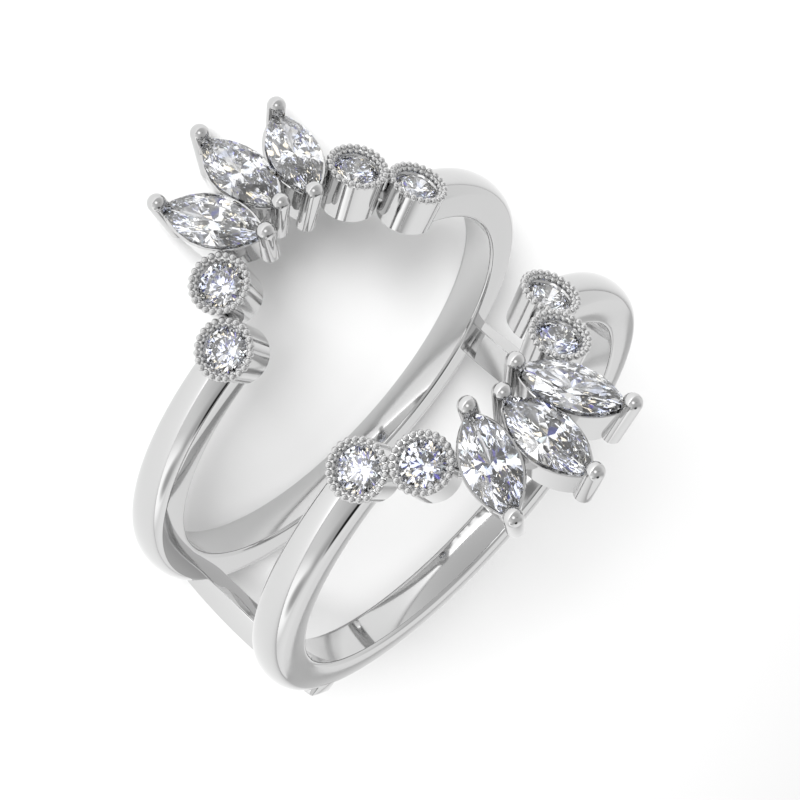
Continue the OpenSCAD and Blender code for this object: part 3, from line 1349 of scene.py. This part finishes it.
@dataclass
class Studio:
    """Camera at the photograph's angle, white card floor and the light tent.

    Eye and target are in millimetres in the worn frame, the other lengths in metres. The
    stones need more bounces than usual, or their facets lose light on its way round inside.

    Attributes:
        lens_mm, sensor_mm: The camera's focal length and sensor.
        eye, target: Where it is and what it looks at.
        tent_level: Brightness of the tent between its patches.
        key_watts, key_size: Power and side of the soft light.
        key_toward: Direction to it along the camera's own axes.
        key_reach: Its distance from the ring.
        card_size: Side of the card.
        aim_h: Height of the ring's middle, at which the light aims.
        near, far: The camera's clipping distances.
        bounces: Bounces of light.
    """

    lens_mm: float = 87.94
    sensor_mm: float = 36.0
    eye: Point = (24.137, 24.333, 70.192)
    target: Point = (-1.085, -0.492, 0.569)
    tent_level: float = 1.0
    key_watts: float = 7.2
    key_toward: Point = (-0.11, 0.11, 1)
    key_reach: float = 0.5
    key_size: float = 0.16
    card_size: float = 3.0
    aim_h: float = 0.008
    near: float = 0.001
    far: float = 10
    bounces: int = 11

    def camera(self, lay: Matrix) -> None:
        """Adds the camera where the photograph was taken from, relative to the worn ring.

        Args:
            lay: Matrix from the worn frame to the row frame.
        """
        deselect_all()
        bpy.ops.object.camera_add()
        cam = bpy.context.object
        cam.name = "camera"
        cam.data.sensor_width = self.sensor_mm
        cam.data.lens = self.lens_mm
        cam.data.clip_start, cam.data.clip_end = self.near, self.far
        eye = lay @ Vector(self.eye)
        back = (eye - lay @ Vector(self.target)).normalized()
        crown = (lay.to_3x3() @ Vector((0, 0, 1))).normalized()
        right = crown.cross(back).normalized()
        cam.location = eye
        cam.rotation_mode = "QUATERNION"
        axes = Matrix((right, back.cross(right), back)).transposed()
        cam.rotation_quaternion = axes.to_quaternion()
        bpy.context.scene.camera = cam

    def floor(self) -> None:
        """Adds the card as one large square at the ring's base."""
        deselect_all()
        bpy.ops.mesh.primitive_plane_add(size=self.card_size)
        card = bpy.context.object
        card.name = "card_floor"
        card.data.materials.append(PaleTable().build())

    def softbox(self, name: str, toward: Vector) -> None:
        """Adds the square soft light aimed at the ring.

        It lights the card only. In the metal and the stones it would burn out.

        Args:
            name: Name of the light.
            toward: Unit vector from the ring to the light.
        """
        deselect_all()
        middle = Vector((0, 0, self.aim_h))
        bpy.ops.object.light_add(type="AREA", location=toward * self.key_reach + middle)
        lamp = bpy.context.object
        lamp.name = name
        lamp.data.shape = "SQUARE"
        lamp.data.size = self.key_size
        lamp.data.energy = self.key_watts
        lamp.visible_glossy = lamp.visible_transmission = False
        lamp.rotation_mode = "QUATERNION"
        lamp.rotation_quaternion = (-toward).to_track_quat("-Z", "Y")

    def tent(self) -> None:
        """Makes the light tent: one level all round with soft patches over it."""
        world = bpy.data.worlds.new("light_tent")
        bpy.context.scene.world = world
        world.use_nodes = True
        tree = world.node_tree
        back = tree.nodes["Background"]
        back.inputs["Strength"].default_value = 1.0
        coord = add_node(tree, "ShaderNodeTexCoord")
        path = add_node(tree, "ShaderNodeLightPath")
        shown = add_node(tree, "ShaderNodeCombineColor", {}, dict.fromkeys(
            ("Red", "Green", "Blue"), self.tent_level)).outputs["Color"]
        for patch in TENT_PATCHES:
            near = add_node(
                tree, "ShaderNodeVectorMath", {"operation": "DOT_PRODUCT"},
                {0: coord.outputs["Generated"], 1: direction(patch.azimuth, patch.elevation)},
            )
            share = add_node(
                tree, "ShaderNodeMapRange", {"interpolation_type": "SMOOTHSTEP"},
                {"Value": near.outputs["Value"],
                 "From Min": math.cos(math.radians(patch.radius + patch.edge)),
                 "From Max": math.cos(math.radians(max(patch.radius - patch.edge, 0)))},
            )
            gate = add_node(
                tree, "ShaderNodeMath", {"operation": "MULTIPLY"},
                {0: share.outputs["Result"],
                 1: path.outputs["Is Transmission Ray"] if patch.stones_only else 1.0},
            )
            mix = add_node(
                tree, "ShaderNodeMix", {"data_type": "RGBA"},
                {0: gate.outputs[0], 6: shown, 7: patch.colour()},
            )
            shown = mix.outputs[2]
        tree.links.new(shown, back.inputs["Color"])

    def build(self, lay: Matrix) -> None:
        """Builds the camera, the floor and the light.

        Args:
            lay: Matrix from the worn frame to the row frame.
        """
        scene = bpy.context.scene
        scene.view_settings.view_transform = "Standard"
        scene.cycles.max_bounces = scene.cycles.glossy_bounces = self.bounces
        scene.cycles.transmission_bounces = self.bounces
        self.camera(lay)
        self.floor()
        self.tent()
        toward = scene.camera.matrix_basis.to_3x3() @ Vector(self.key_toward)
        self.softbox("key_softbox", toward.normalized())


def main() -> None:
    """Builds the pieces in order and reports each one."""
    logging.basicConfig(level=logging.INFO, format="%(message)s")
    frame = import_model()
    sizes = RingSizes()
    lay = RestPose(sizes).matrix()
    Studio().build(lay)
    metal = PolishedWhiteGold().build()
    for side in Side:
        finish_metal(place(Shank(sizes, side).build(), lay), metal)
    bar = BridgeBar(sizes)
    for i, sign in enumerate((-1, 1), 1):
        turn = Matrix.Rotation(math.radians(sign * bar.angle), 4, "Y")
        finish_metal(place(bar.build(f"bridge_bar_{i}"), lay @ turn), metal, bar.corner)
    for side in Side:
        Cluster(sizes, side).build(lay, metal)
    Stones().dress(frame["nodes"])


if __name__ == "__main__":
    main()
